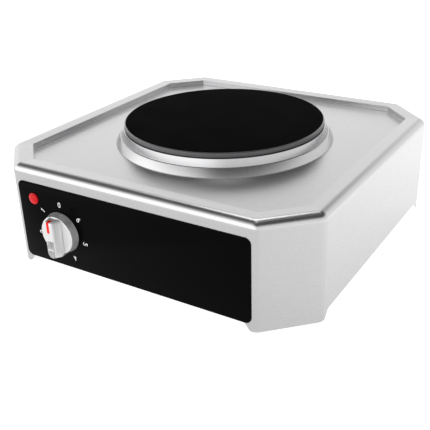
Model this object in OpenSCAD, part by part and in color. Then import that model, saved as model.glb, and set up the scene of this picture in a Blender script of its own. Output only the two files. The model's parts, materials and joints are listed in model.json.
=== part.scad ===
// Commercial countertop hot plate burner: one cast-iron plate in a pressed stainless housing.
// Millimetres. X is to the right, Y to the back, Z up; the origin is the bottom centre.

/* [Housing] */
// Overall width of the housing, left to right
body_w = 370; // [300:5:460]
// Overall depth of the housing, front to back
body_d = 370; // [300:5:460]
// Height of the flat rim above the table
rim_h = 112; // [100:1:150]
// Length taken off each side by a corner chamfer
corner_cut = 45; // [35:1:60]
// Outside radius of the upright corner edges
corner_r = 10; // [9.5:0.5:14]
// Outside radius of the bend from wall to rim
bend_r = 8.5; // [5:0.5:9]
// Thickness of the stainless sheet
sheet_t = 1.2; // [0.8:0.1:2]
// Width of the flat part of the rim
rim_flat = 12.5; // [8:0.5:18]
// Depth of the tray below the rim
tray_drop = 6.3; // [4:0.1:9]
// Height of the raised wall edges above the table
wall_gap = 9.5; // [6:0.5:14]
// Height of the corner legs' lower edge above the table
leg_gap = 1.5; // [1:0.1:3]
// Length of the slope between a leg and a raised edge
leg_slope = 10; // [6:1:16]
// Distance from the chamfer's end to where the slope starts
leg_inset = 13; // [11:1:18]

/* [Base] */
// Thickness of the base cover sheet
cover_t = 1; // [0.8:0.1:2]
// Gap between the base cover and the housing walls
cover_gap = 1.5; // [1.2:0.1:3]
// Height of the base cover's lower face above the table
cover_z = 11.2; // [10:0.2:14]
// Vent slots in each row of the base cover
vent_count = 7; // [3:1:9]
// Distance between neighbouring vent slots
vent_pitch = 12; // [9:1:16]
// Length of a vent slot
vent_len = 44; // [20:2:60]
// Width of a vent slot
vent_w = 4; // [3:0.5:6]
// Distance of each row of vent slots from the middle
vent_row = 60; // [45:5:75]
// Thickness of the corner brackets
bracket_t = 2; // [1.5:0.5:3]
// Distance of a corner bracket's ends from the chamfer's rounded edges
bracket_side = 3.5; // [1:0.5:8]
// Depth of a corner bracket from the chamfer
bracket_d = 42; // [38:1:46]
// Height of a corner bracket's welded flange
bracket_h = 16; // [10:1:25]
// Distance of a foot's axis from the chamfer face
foot_in = 26; // [22:1:28]
// Radius of a rubber foot
foot_r = 12; // [9:0.5:14]
// Radius of the foot screws' shanks
foot_screw_r = 2; // [1.5:0.25:2.5]
// Width of the foot screws' heads outside the shank
foot_head_lip = 2; // [1.5:0.25:3]
// Height of the foot screws' heads
foot_head_h = 2.4; // [2:0.2:3]
// Depth of the recess under each foot
foot_recess = 5; // [4:0.5:6]

/* [Hot plate] */
// Radius of the cast-iron plate
plate_r = 110; // [90:1:115]
// Height of the cooking surface above the rim
plate_rise = 16; // [14:0.5:20]
// Thickness of the plate's outer rim
plate_rim_t = 9.1; // [7:0.1:12]
// Width of the seat under the plate's rim
plate_seat = 6; // [4:0.5:9]
// Depth of the lower body below the plate's rim
plate_body_h = 8.9; // [7:0.1:11]
// Bevel at the edge of the cooking surface
plate_bevel = 1.2; // [0.5:0.1:2]
// Iron left above the heating channels
plate_skin = 9.4; // [7:0.1:10]
// Radius of the iron boss in the middle
boss_r = 22; // [16:1:26]
// Thickness of the ribs between heating channels
rib_t = 2; // [1.5:0.5:4]
// Width of the iron left outside the outer channel
channel_edge = 6; // [4:0.5:8]
// Radius of a heating coil's sheath
coil_r = 2; // [1.5:0.1:2.5]
// Free angle between the two ends of a coil
coil_free = 24; // [16:1:40]
// Depth of the pan below the plate's lower body
pan_h = 4; // [3:0.5:6]
// Thickness of the pan's sheet
pan_t = 0.8; // [0.5:0.1:1]

/* [Spill ring] */
// Sheet thickness of the spill ring
ring_t = 0.8; // [0.5:0.1:1]
// Gap between the plate and the ring's lip
ring_gap = 0.1; // [0.05:0.05:0.3]
// Height of the ring's lip above the seat under the plate's rim
lip_h = 3.4; // [2:0.1:5]
// Distance of the ring's foot outside the plate's edge
ring_out = 10.5; // [8:0.5:14]
// Distance of the crease outside the plate's edge
crease_out = 3.3; // [2.5:0.1:5]
// Drop from the lip's top to the crease
crease_drop = 8; // [6:0.1:10]

/* [Clamp] */
// Radius of the stud in the middle of the plate
stud_r = 4; // [3:0.5:5]
// Length of the stud
stud_len = 32; // [28:1:40]
// Depth of the stud's blind hole in the plate
stud_seat = 9; // [6:0.5:10]
// Gap between the plate's lower body and the opening in the tray
tray_hole_gap = 3; // [1:0.5:6]
// Overlap of the clamp bar under the tray at each end
bar_lap = 18; // [10:1:24]
// Width of the clamp bar
bar_w = 25; // [18:1:32]
// Thickness of the clamp bar
bar_t = 3; // [2:0.5:5]
// Wall of the clamp nut at its flats
nut_wall = 2.5; // [2:0.5:4]
// Height of the clamp nut
nut_h = 6.5; // [5:0.5:8]
// Width of the clamp washer outside the stud
washer_lip = 6; // [4:0.5:8]
// Thickness of the clamp washer
washer_t = 1.6; // [1:0.2:2.5]

/* [Control panel] */
// Distance of the control panel's ends from the chamfers
panel_side = 4; // [3:0.5:20]
// Distance of the control panel's upper edge below the rim
panel_drop = 16; // [12:0.5:22]
// Thickness of the control panel
panel_t = 0.8; // [0.5:0.1:1.5]
// Corner radius of the control panel
panel_r = 6.5; // [3:0.5:9]
// Distance of the dial's axis from the panel's left edge
dial_in = 54; // [46:1:70]
// Height of the dial's axis above the panel's lower edge
dial_up = 39.5; // [36:0.5:44]
// Distance of the pilot lamp from the panel's left edge
pilot_in = 20; // [14:1:24]
// Distance of the pilot lamp below the panel's upper edge
pilot_down = 17; // [12:1:20]

/* [Knob] */
// Radius of the knob's skirt at the panel
knob_r = 22; // [21:0.5:24]
// Difference in radius between the skirt and the front disc
knob_draft = 2.3; // [1:0.1:4]
// Height of the knob's disc
knob_disc_h = 8.5; // [7:0.5:11]
// Height of the knob's grip
knob_h = 19; // [16:0.5:24]
// Width of the grip at its foot
grip_base_w = 16; // [13:0.5:17]
// Difference in width between the grip's foot and its front
grip_draft = 6; // [2:0.5:7]
// Distance of the grip's upper end inside the disc's edge
grip_inset = 0.7; // [0:0.1:2]
// Reach of the grip's lower end past the skirt
grip_lobe = 2.5; // [0:0.5:5]
// Gap between the knob and the panel
knob_gap = 0.5; // [0.4:0.1:1]
// Depth of the hollow behind the knob
knob_hollow = 5; // [4:0.5:6]
// Wall of the knob's skirt at the end of the hollow
knob_wall = 2; // [1.5:0.1:3]
// Radius of the finger dish in the grip's lower half
dish_r = 16.5; // [14:0.5:20]
// Depth of the finger dish
dish_deep = 2.5; // [1:0.5:3]
// Width left beside the finger dish
dish_edge = 1.2; // [0.8:0.1:2]
// Width of the pointer
pointer_w = 3.2; // [1.5:0.1:3.5]
// Start of the pointer as a share of the grip's upper half
pointer_from = 0.36; // [0.2:0.02:0.6]
// Depth of the pointer in the grip
pointer_t = 0.8; // [0.5:0.1:1.2]
// Length of the pointer down the grip's upper end
pointer_down = 6; // [4:0.5:8]

/* [Rotary switch] */
// Radius of the switch shaft
shaft_r = 3; // [2.5:0.1:4]
// Depth of the flat on the shaft
shaft_cut = 0.8; // [0.6:0.1:1.2]
// Radial play of the shaft in its bearings
shaft_play = 0.06; // [0.02:0.01:0.1]
// Width and height of the switch case
switch_w = 40; // [38:1:44]
// Depth of the switch case
switch_d = 42; // [34:1:48]
// Thickness of the switch front plate
switch_plate_t = 1.5; // [1:0.1:2]
// Wall of the switch case's back
switch_wall = 3; // [2:0.5:4]
// Radius of the cam drum
cam_r = 12; // [10:0.5:12.5]
// Gap between the cam drum and the case
cam_gap = 1.5; // [1:0.25:2]
// Distance of each switch screw from the axis
switch_screw_x = 14; // [13:0.5:15]
// Radius of the switch screws
switch_screw_r = 1.9; // [1.5:0.1:2]

/* [Pilot lamp] */
// Radius of the lens
lens_r = 6; // [5.5:0.5:7]
// Height of the lens above the panel
lens_h = 3; // [2:0.5:4]
// Radius of the lamp's barrel
barrel_r = 4.8; // [4:0.1:5]
// Length of the lamp's barrel behind the panel's face
barrel_len = 26; // [20:1:32]

/* [Cable entry] */
// Distance of the cable entry from the right rear chamfer
gland_in = 40; // [36:1:60]
// Height of the cable entry above the table
gland_z = 42; // [34:1:60]
// Radius of the gland's thread
gland_r = 9.9; // [8:0.1:11]
// Radius of the bore in the rubber seal
seal_bore_r = 4.5; // [3:0.1:5]
// Height of the gland's hexagon flats above its thread
gland_rim = 2.1; // [1.5:0.1:4]
// Thickness of the gland's outer hexagon
gland_hex_t = 5; // [4:0.5:7]

/* [Wiring] */
// Radius of the supply and earth wires
wire_r = 1.4; // [1:0.1:1.6]
// Radius of the sleeved plate wires
plate_wire_r = 1.5; // [1.1:0.1:1.7]
// Radius of the pilot lamp wires
pilot_wire_r = 0.8; // [0.6:0.1:1]
// Length of the mains terminal block
block_w = 34; // [30:1:40]
// Width of the mains terminal block
block_d = 20; // [16:1:24]
// Height of the mains terminal block
block_h = 15; // [12:1:18]
// Width of a push-on tab
tab_w = 6.3; // [4.8:0.1:6.3]
// Thickness of a push-on tab
tab_t = 0.8; // [0.6:0.1:1]

/* [Hidden] */
$fn = 64;
eps = 0.01;
touch = 0.02;
over = 1;
hole_gap = 0.2;
screw_gap = 0.3;
stud_gap = 0.5;
pin_gap = 0.7;
wire_gap = 0.05;
foot_bevel = 1;
foot_head_gap = 1;
screw_past = 3;
ring_seat_gap = 0.3;
crease_lean = 2.6;
crease_under = 0.6;
ledge_in = 1.2;
ledge_out = 1.9;
ledge_drop = 0.8;
foot_lean = 1.8;
dish_at = 0.42;
grip_lift = 1;
hub_wall = 1;
bore_len = 13;
bore_gap = 0.1;
spring_w = 2.2;
spring_t = 0.4;
spring_len = 11;
spring_at = 1;
shaft_in = 12;
cam_turn = 40;
cam_step = 360 / 3.5;
cam_rim = 1;
cam_end_gap = 1;
notch_deep = 2.5;
notch_w = 6;
switch_roof = 2;
switch_screw_seat = 8;
switch_screw_in = 6;
switch_head = 1.7;
switch_head_h = 2;
plate_lap = 2;
contact_pitch = 5;
contact_w = 3;
contact_t = 0.6;
contact_gap = 2.4;
tab_len = 8;
tab_pitch_x = 12;
tab_pitch_z = 18;
lens_flange = 1.2;
lens_step = 0.6;
dome = 1.5;
barrel_wall = 1;
barrel_floor = 3;
lamp_wire_x = 1.6;
pilot_tab_x = 2.2;
clip_t = 1;
clip_lip = 3;
neon_in = 16;
neon_len = 10;
neon_r = 2.4;
gland_in_len = 9;
gland_neck = 6;
gland_step = 0.6;
gland_bore_r = gland_r - 3;
gland_len = gland_neck + gland_hex_t + sheet_t + gland_in_len;
locknut_t = 4.5;
seal_in = 3;
cap_end_t = 2;
cap_gap = 0.5;
cap_wall = 1.6;
cap_taper = 2.6;
cap_cone = 3;
cap_hole_gap = 1;
block_left = 28;
block_back = 7;
block_hole_r = 1.3;
sleeve_r = 2.4;
sleeve_in = 1;
clamp_y = 5;
clamp_r = 1.2;
clamp_neck = 3;
clamp_head_at = 4;
clamp_head_r = 1.8;
clamp_head_h = block_h - 11;
clamp_gap = 0.1;
earth_left = 60;
earth_up = 18;
earth_r = 2.5;
earth_len = 16;
earth_nut_at = 4;
earth_nut_af = 8;
earth_nut_h = 4;
lug_t = 0.8;
lug_r = 5.5;
lug_pitch = 2.2;
rating_x = -110;
rating_z = 32;
rating_w = 76;
rating_h = 40;
rating_t = 0.3;
half_w = body_w / 2;
half_d = body_d / 2;
front_w = body_w - 2 * corner_cut;
foot_head_r = foot_screw_r + foot_head_lip;
washer_r = stud_r + washer_lip;
nut_af = 2 * (stud_r + nut_wall);
shaft_flat = shaft_r - shaft_cut;
gland_af = 2 * (gland_r + gland_rim);
plate_body_r = plate_r - plate_seat;
tray_hole_r = plate_body_r + tray_hole_gap;
panel_w = front_w - 2 * panel_side;
panel_h = rim_h - panel_drop - wall_gap;
dial_x = panel_w / 2 - dial_in;
dial_z = wall_gap + dial_up;
pilot_x = panel_w / 2 - pilot_in;
pilot_z = rim_h - panel_drop - pilot_down;
knob_face_r = knob_r - knob_draft;
knob_hollow_r = knob_r - knob_draft * knob_hollow / knob_disc_h - knob_wall;
grip_top_w = grip_base_w - grip_draft;
grip_up = knob_face_r - grip_inset;
grip_down = knob_r + grip_lobe;
gland_x = front_w / 2 - gland_in;
mitre = tan(22.5);
bracket_w = corner_cut * sqrt(2) - 2 * corner_r * mitre - 2 * bracket_side;
step_in = bend_r + rim_flat;
tray_z = rim_h - tray_drop;
tray_low = tray_z - sheet_t;
bend_z = rim_h - bend_r;
plate_z = rim_h + plate_rise;
seat_z = plate_z - plate_rim_t;
body_z = seat_z - plate_body_h;
pan_side_gap = 0.5;
pan_r = plate_body_r - pan_side_gap;
pan_z = body_z - pan_h;
lip_z = seat_z + lip_h;
crease_z = lip_z - crease_drop;
bracket_z = cover_z + cover_t;
bar_z = tray_low - bar_t;
washer_z = bar_z - washer_t;
nut_z = washer_z - nut_h;
front_y = -half_d;
inner_y = front_y + sheet_t;
panel_y = front_y - panel_t;
knob_y = panel_y - knob_gap;
reach = panel_t + knob_gap + knob_h;
gland_end = half_d + reach;
inner_back = half_d - sheet_t;
switch_y = inner_y + switch_plate_t;
switch_end = switch_y + switch_d;
lead_r = 0.8;
lead_gap = 1;
coil_leg = 0.9;
channel_z = plate_z - plate_skin;
channel_out = plate_body_r - channel_edge;
channel_w = (channel_out - boss_r - 2 * rib_t) / 3;
coil_z = (channel_z + body_z) / 2;
lead_z = body_z - lead_gap - lead_r;
pin_y = boss_r + channel_w + rib_t / 2;
pin_pitch = 11;
pin_r = 1.2;
terminal_d = 18;
terminal_h = 12;
pin_root = 2;
pin_low = pan_z - terminal_h - pin_root;
block_x = gland_x - block_left;
block_y = half_d - corner_cut - bracket_d / 2 - block_d / 2 + block_back;
pole_pitch = 11;
pole_z = bracket_z + 6;
earth_x = gland_x - earth_left;
earth_z = gland_z + earth_up;

// Corner points of the chamfered square, drawn in by the distance i
function oct(i) = [
    for (s = [[1, 1], [-1, 1], [-1, -1], [1, -1]])
        for (k = [s.x * s.y > 0 ? 0 : 1, s.x * s.y > 0 ? 1 : 0])
            k == 0
                ? [s.x * (half_w - i), s.y * (half_d - corner_cut - i * mitre)]
                : [s.x * (half_w - corner_cut - i * mitre), s.y * (half_d - i)]
];

// Centre of heating channel n, counted from the middle
function channel_r(n) = boss_r + channel_w / 2 + n * (channel_w + rib_t);

// End point of heating coil n, side -1 or 1
function coil_end(n, side) = [
    channel_r(n) * cos(90 + side * coil_free / 2),
    channel_r(n) * sin(90 + side * coil_free / 2),
    coil_z
];

// Centre of plate pin k, 0 to 3
function pin_at(k) = [(k - 1.5) * pin_pitch, pin_y, 0];

// Root of switch tab c (column -1, 0, 1) and row r (-1, 1)
function tab_at(c, r) = [-dial_x + c * tab_pitch_x, switch_end, dial_z + r * tab_pitch_z / 2];

module slab(i, z0, z1) {
    translate([0, 0, z0])
        linear_extrude(z1 - z0)
            polygon(oct(i));
}

module rod(p, q, r) {
    v = q - p;
    len = norm(v);
    translate(p)
        rotate([0, acos(v.z / len), atan2(v.y, v.x)])
            cylinder(h = len, r = r);
}

module wire(path, r) {
    last = len(path) - 1;
    for (i = [1 : last]) {
        if (i < last)
            translate(path[i])
                rotate([50, 20, 0])
                    sphere(r = r * 1.15);
        rod(path[i - 1], path[i], r);
    }
}

module hex(af, h) {
    cylinder(h = h, r = af / 2 / cos(30), $fn = 6);
}

// Places children on chamfer i: X points out of the chamfer, Y runs along it
module at_corner(i) {
    sx = i == 0 || i == 3 ? 1 : -1;
    sy = i < 2 ? 1 : -1;
    translate([sx * (half_w - corner_cut / 2), sy * (half_d - corner_cut / 2), 0])
        rotate([0, 0, 45 + 90 * i])
            children();
}

// Turns children so that their Z axis points out of the front
module to_front(x, y, z) {
    translate([x, y, z])
        rotate([90, 0, 0])
            children();
}

// Section of wall and bend, X inward from the wall's outer face
module wall_section() {
    translate([0, leg_gap])
        square([sheet_t, bend_z - leg_gap]);
    intersection() {
        translate([bend_r, bend_z])
            difference() {
                circle(r = bend_r);
                circle(r = bend_r - sheet_t);
            }
        translate([0, bend_z])
            square([bend_r, bend_r]);
    }
    translate([bend_r, rim_h - sheet_t])
        square([corner_r - bend_r, sheet_t]);
}

// Straight wall between two neighbouring corners of the outline
module wall_run(p, q) {
    v = q - p;
    translate([p.x, p.y, 0])
        rotate([0, 0, atan2(v.y, v.x)])
            rotate([90, 0, 90])
                linear_extrude(norm(v))
                    translate([-corner_r, 0])
                        wall_section();
}

// Rounded upright edge on the centre p, starting at the angle a
module wall_corner(p, a) {
    translate([p.x, p.y, 0])
        rotate([0, 0, a])
            rotate_extrude(angle = 45)
                mirror([1, 0])
                    translate([-corner_r, 0])
                        wall_section();
}

module raised_edge(half_len, y) {
    a = half_len - corner_cut - leg_inset;
    translate([0, y, 0])
        rotate([90, 0, 0])
            translate([0, 0, -2 * sheet_t])
                linear_extrude(4 * sheet_t)
                    polygon([
                        [-a - leg_slope, 0],
                        [a + leg_slope, 0],
                        [a + leg_slope, leg_gap],
                        [a, wall_gap],
                        [-a, wall_gap],
                        [-a - leg_slope, leg_gap]
                    ]);
}

module housing() {
    c = oct(corner_r);
    color("Silver")
        difference() {
            union() {
                for (i = [0 : 7]) {
                    wall_run(c[i], c[(i + 1) % 8]);
                    wall_corner(c[i], 45 * i);
                }
                difference() {
                    slab(corner_r, rim_h - sheet_t, rim_h);
                    slab(step_in, rim_h - 2 * sheet_t, rim_h + sheet_t);
                }
                difference() {
                    slab(step_in - sheet_t, tray_low, rim_h - sheet_t + eps);
                    slab(step_in, tray_z, rim_h);
                    translate([0, 0, tray_low - sheet_t])
                        cylinder(h = 3 * sheet_t, r = tray_hole_r);
                }
            }
            raised_edge(half_w, -half_d);
            raised_edge(half_w, half_d);
            rotate([0, 0, 90]) {
                raised_edge(half_d, -half_w);
                raised_edge(half_d, half_w);
            }
            to_front(-dial_x, inner_y + sheet_t, dial_z)
                cylinder(h = 3 * sheet_t, r = 2 * shaft_r);
            for (s = [-1, 1])
                to_front(-dial_x + s * switch_screw_x, inner_y + sheet_t, dial_z)
                    cylinder(h = 3 * sheet_t, r = switch_screw_r + hole_gap);
            to_front(-pilot_x, inner_y + sheet_t, pilot_z)
                cylinder(h = 3 * sheet_t, r = barrel_r + hole_gap);
            to_front(gland_x, half_d + sheet_t, gland_z)
                cylinder(h = 3 * sheet_t, r = gland_r + hole_gap);
        }
}

module base_cover() {
    color("Gainsboro")
        difference() {
            slab(sheet_t + cover_gap, cover_z, cover_z + cover_t);
            for (side = [-1, 1])
                for (i = [0 : vent_count - 1])
                    translate([(i - (vent_count - 1) / 2) * vent_pitch, side * vent_row, cover_z - over])
                        linear_extrude(cover_t + 2 * over) {
                            square([vent_w, vent_len], center = true);
                            for (e = [-1, 1])
                                translate([0, e * vent_len / 2])
                                    circle(r = vent_w / 2);
                        }
            for (i = [0 : 3])
                at_corner(i)
                    translate([-foot_in, 0, cover_z - over])
                        cylinder(h = cover_t + 2 * over, r = foot_screw_r + screw_gap);
            translate([block_x, block_y, cover_z - over])
                cylinder(h = cover_t + 2 * over, r = block_hole_r + screw_gap);
        }
}

module bracket(i) {
    color("LightGray")
        at_corner(i)
            difference() {
                union() {
                    translate([-sheet_t - bracket_d, -bracket_w / 2, bracket_z])
                        cube([bracket_d, bracket_w, bracket_t]);
                    translate([-sheet_t - bracket_t, -bracket_w / 2, bracket_z])
                        cube([bracket_t, bracket_w, bracket_h]);
                }
                translate([-foot_in, 0, bracket_z - over])
                    cylinder(h = bracket_t + 2 * over, r = foot_screw_r + touch);
            }
}

module bracket_back_right() {
    bracket(0);
}

module bracket_back_left() {
    bracket(1);
}

module bracket_front_left() {
    bracket(2);
}

module bracket_front_right() {
    bracket(3);
}

module foot(i) {
    color("DimGray")
        at_corner(i)
            translate([-foot_in, 0, 0])
                difference() {
                    union() {
                        cylinder(h = foot_bevel, r1 = foot_r - foot_bevel, r2 = foot_r);
                        translate([0, 0, foot_bevel])
                            cylinder(h = cover_z - foot_bevel, r = foot_r);
                    }
                    translate([0, 0, -over])
                        cylinder(h = foot_recess + over, r = foot_head_r + foot_head_gap);
                    cylinder(h = cover_z + over, r = foot_screw_r + hole_gap);
                }
}

module foot_back_right() {
    foot(0);
}

module foot_back_left() {
    foot(1);
}

module foot_front_left() {
    foot(2);
}

module foot_front_right() {
    foot(3);
}

module foot_screws() {
    color("Gray")
        for (i = [0 : 3])
            at_corner(i)
                translate([-foot_in, 0, 0]) {
                    translate([0, 0, foot_recess - foot_head_h])
                        cylinder(h = foot_head_h, r = foot_head_r);
                    translate([0, 0, foot_recess - eps])
                        cylinder(h = bracket_z + bracket_t + screw_past - foot_recess, r = foot_screw_r);
                }
}

module hotplate_disc() {
    color([0.1, 0.1, 0.1])
        difference() {
            union() {
                translate([0, 0, seat_z])
                    cylinder(h = plate_rim_t - plate_bevel, r = plate_r);
                translate([0, 0, plate_z - plate_bevel])
                    cylinder(h = plate_bevel, r1 = plate_r, r2 = plate_r - plate_bevel);
                translate([0, 0, body_z])
                    cylinder(h = plate_body_h + eps, r = plate_body_r);
            }
            for (n = [0 : 2])
                translate([0, 0, body_z - over])
                    difference() {
                        cylinder(h = channel_z - body_z + over, r = channel_r(n) + channel_w / 2);
                        cylinder(h = channel_z - body_z + over, r = channel_r(n) - channel_w / 2);
                    }
            translate([0, 0, body_z - over])
                cylinder(h = stud_seat + over, r = stud_r + touch);
        }
}

// One heating coil with its two legs, made r thick
module coil(n, r) {
    leg = coil_z - body_z + lead_gap;
    translate([0, 0, coil_z])
        rotate([0, 0, 90 + coil_free / 2])
            rotate_extrude(angle = 360 - coil_free)
                translate([channel_r(n), 0])
                    circle(r = r);
    for (side = [-1, 1])
        translate(coil_end(n, side) - [0, 0, leg])
            cylinder(h = leg, r = r * coil_leg);
}

module insulation() {
    color("LightYellow")
        difference() {
            for (n = [0 : 2])
                translate([0, 0, body_z])
                    difference() {
                        cylinder(h = channel_z - body_z, r = channel_r(n) + channel_w / 2 - touch);
                        cylinder(h = channel_z - body_z, r = channel_r(n) - channel_w / 2 + touch);
                    }
            for (n = [0 : 2])
                coil(n, coil_r + touch);
        }
}

module coil_inner() {
    color("SlateGray")
        coil(0, coil_r);
}

module coil_middle() {
    color("SlateGray")
        coil(1, coil_r);
}

module coil_outer() {
    color("SlateGray")
        coil(2, coil_r);
}

module coil_leads() {
    color("LightSlateGray")
        for (n = [0 : 2])
            for (side = [-1, 1]) {
                e = [coil_end(n, side).x, coil_end(n, side).y, lead_z];
                p = pin_at(1.5 - side * (n == 2 ? 1.5 : 0.5)) + [0, 0, lead_z];
                rod(e, p - (p - e) / norm(p - e) * (pin_r + touch), lead_r);
            }
}

module pan() {
    color("Silver")
        difference() {
            translate([0, 0, pan_z])
                cylinder(h = pan_h, r = pan_r);
            translate([0, 0, pan_z + pan_t])
                cylinder(h = pan_h, r = pan_r - pan_t);
            translate([0, 0, pan_z - over])
                cylinder(h = pan_t + 2 * over, r = stud_r + stud_gap);
            for (k = [0 : 3])
                translate(pin_at(k) + [0, 0, pan_z - over])
                    cylinder(h = pan_t + 2 * over, r = pin_r + pin_gap);
        }
}

// Half section of the ring: seat under the plate, upright lip, crease, ledge and sloping foot
module spill_ring() {
    seat_in = plate_body_r + ring_seat_gap;
    crease = plate_r + crease_out;
    foot = plate_r + ring_out;
    lip = plate_r + ring_gap;
    color("WhiteSmoke")
        rotate_extrude()
            polygon([
                [seat_in, seat_z - ring_t],
                [crease - crease_lean * ring_t, seat_z - ring_t],
                [crease - ring_t, crease_z - crease_under * ring_t],
                [crease + ledge_in, crease_z - (1 + ledge_drop) * ring_t],
                [foot - foot_lean * ring_t, tray_z + ring_t],
                [foot - foot_lean * ring_t, tray_z],
                [foot, tray_z],
                [foot, tray_z + ring_t],
                [crease + ledge_out, crease_z - ledge_drop * ring_t],
                [crease, crease_z],
                [lip + 2 * ring_t, lip_z],
                [lip, lip_z],
                [lip, seat_z],
                [seat_in, seat_z]
            ]);
}

module clamp_stud() {
    color("Gray")
        translate([0, 0, body_z + stud_seat - stud_len])
            cylinder(h = stud_len, r = stud_r);
}

module clamp_bar() {
    color("SteelBlue")
        difference() {
            translate([-tray_hole_r - bar_lap, -bar_w / 2, bar_z])
                cube([2 * (tray_hole_r + bar_lap), bar_w, bar_t]);
            translate([0, 0, bar_z - over])
                cylinder(h = bar_t + 2 * over, r = stud_r + stud_gap);
        }
}

module clamp_washer() {
    color("Silver")
        translate([0, 0, washer_z])
            difference() {
                cylinder(h = washer_t, r = washer_r);
                translate([0, 0, -over])
                    cylinder(h = washer_t + 2 * over, r = stud_r + screw_gap);
            }
}

module clamp_nut() {
    color("DarkGray")
        translate([0, 0, nut_z])
            difference() {
                hex(nut_af, nut_h);
                translate([0, 0, -over])
                    cylinder(h = nut_h + 2 * over, r = stud_r + touch);
            }
}

module plate_terminal() {
    color("Ivory")
        difference() {
            translate([-2 * pin_pitch, pin_y - terminal_d / 2, pan_z - terminal_h])
                cube([4 * pin_pitch, terminal_d, terminal_h]);
            for (k = [0 : 3])
                translate(pin_at(k) + [0, 0, pan_z - terminal_h - over])
                    cylinder(h = terminal_h + 2 * over, r = pin_r + touch);
        }
}

module plate_pins() {
    color("Goldenrod")
        for (k = [0 : 3])
            translate(pin_at(k)) {
                translate([0, 0, pin_low + pin_root - eps])
                    cylinder(h = lead_z + lead_r - pin_low - pin_root + eps, r = pin_r);
                translate([-tab_t / 2, -tab_w / 2, pin_low - tab_len])
                    cube([tab_t, tab_w, tab_len + pin_root]);
            }
}

module control_panel() {
    w = panel_w / 2 - panel_r;
    h = panel_h - panel_r;
    color([0.05, 0.05, 0.05])
        difference() {
            to_front(0, front_y, wall_gap)
                linear_extrude(panel_t) {
                    translate([-panel_w / 2, panel_r])
                        square([panel_w, panel_h - 2 * panel_r]);
                    translate([-w, 0])
                        square([2 * w, panel_h]);
                    for (s = [-1, 1])
                        for (z = [panel_r, h])
                            translate([s * w, z])
                                circle(r = panel_r);
                }
            to_front(-dial_x, front_y + over, dial_z)
                cylinder(h = panel_t + 2 * over, r = 2 * shaft_r);
            for (s = [-1, 1])
                to_front(-dial_x + s * switch_screw_x, front_y + over, dial_z)
                    cylinder(h = panel_t + 2 * over, r = switch_screw_r + hole_gap);
            to_front(-pilot_x, front_y + over, pilot_z)
                cylinder(h = panel_t + 2 * over, r = barrel_r + hole_gap);
        }
}

// Outline of the grip seen from the front, w wide
module grip_outline(w) {
    translate([-w / 2, -grip_down + w / 2])
        square([w, grip_down - w / 2 + grip_up]);
    translate([0, -grip_down + w / 2])
        circle(r = w / 2);
}

module knob_body() {
    bore_flat = shaft_flat + spring_t + bore_gap;
    color("Silver")
        to_front(-dial_x, knob_y, dial_z)
            difference() {
                union() {
                    cylinder(h = knob_disc_h, r1 = knob_r, r2 = knob_face_r);
                    intersection() {
                        translate([0, 0, grip_lift])
                            linear_extrude(knob_h)
                                grip_outline(grip_base_w);
                        translate([0, grip_up, 0])
                            rotate([90, 0, 0])
                                linear_extrude(grip_up + grip_down + over)
                                    polygon([
                                        [-grip_base_w / 2, 0],
                                        [grip_base_w / 2, 0],
                                        [grip_base_w / 2, knob_disc_h],
                                        [grip_top_w / 2, knob_h],
                                        [-grip_top_w / 2, knob_h],
                                        [-grip_base_w / 2, knob_disc_h]
                                    ]);
                    }
                }
                translate([0, 0, -over])
                    difference() {
                        cylinder(h = knob_hollow + over, r = knob_hollow_r);
                        cylinder(h = knob_hollow + over, r = 2 * shaft_r + hub_wall);
                    }
                translate([0, 0, -over])
                    difference() {
                        cylinder(h = bore_len + over, r = shaft_r + touch);
                        translate([-2 * shaft_r, bore_flat, -over])
                            cube([4 * shaft_r, shaft_r, bore_len + 3 * over]);
                    }
                translate([-grip_top_w / 2 + dish_edge, -grip_down * dish_at, knob_h + dish_r - dish_deep])
                    rotate([0, 90, 0])
                        cylinder(h = grip_top_w - 2 * dish_edge, r = dish_r);
                pointer_shape(touch);
            }
}

// Pointer let into the front and the upper end of the grip, grown by g
module pointer_shape(g) {
    w = pointer_w + 2 * g;
    translate([-w / 2, grip_up * pointer_from - g, knob_h - pointer_t - g])
        cube([w, grip_up * (1 - pointer_from) + g + eps, pointer_t + g + eps]);
    translate([-w / 2, grip_up - pointer_t - g, knob_h - pointer_down - g])
        cube([w, pointer_t + g + eps, pointer_down + g + eps]);
}

module knob_pointer() {
    color("Red")
        to_front(-dial_x, knob_y, dial_z)
            pointer_shape(0);
}

module knob_spring() {
    color("LightSteelBlue")
        to_front(-dial_x, knob_y, dial_z)
            translate([-spring_w / 2, shaft_flat + touch, spring_at])
                cube([spring_w, spring_t, spring_len]);
}

module switch_shaft() {
    len = switch_end - knob_y + shaft_in;
    color("LightGray")
        difference() {
            to_front(-dial_x, switch_end, dial_z)
                cylinder(h = len, r = shaft_r);
            translate([-dial_x - shaft_r, knob_y - knob_h, dial_z + shaft_flat])
                cube([2 * shaft_r, knob_h, shaft_r]);
        }
}

module switch_cam() {
    front = switch_y + switch_wall + cam_end_gap;
    back = switch_end - switch_wall - cam_end_gap;
    step = (back - front) / 3;
    color("White")
        to_front(-dial_x, back, dial_z)
            difference() {
                cylinder(h = back - front, r = cam_r);
                for (k = [0 : 2])
                    for (a = [0 : 1 + k])
                        rotate([0, 0, cam_turn * k + a * cam_step])
                            translate([cam_r - notch_deep, -notch_w / 2, cam_rim + k * step])
                                cube([2 * notch_deep, notch_w, step - 2 * cam_rim]);
                translate([0, 0, -over])
                    cylinder(h = back - front + 2 * over, r = shaft_r + touch);
            }
}

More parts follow.
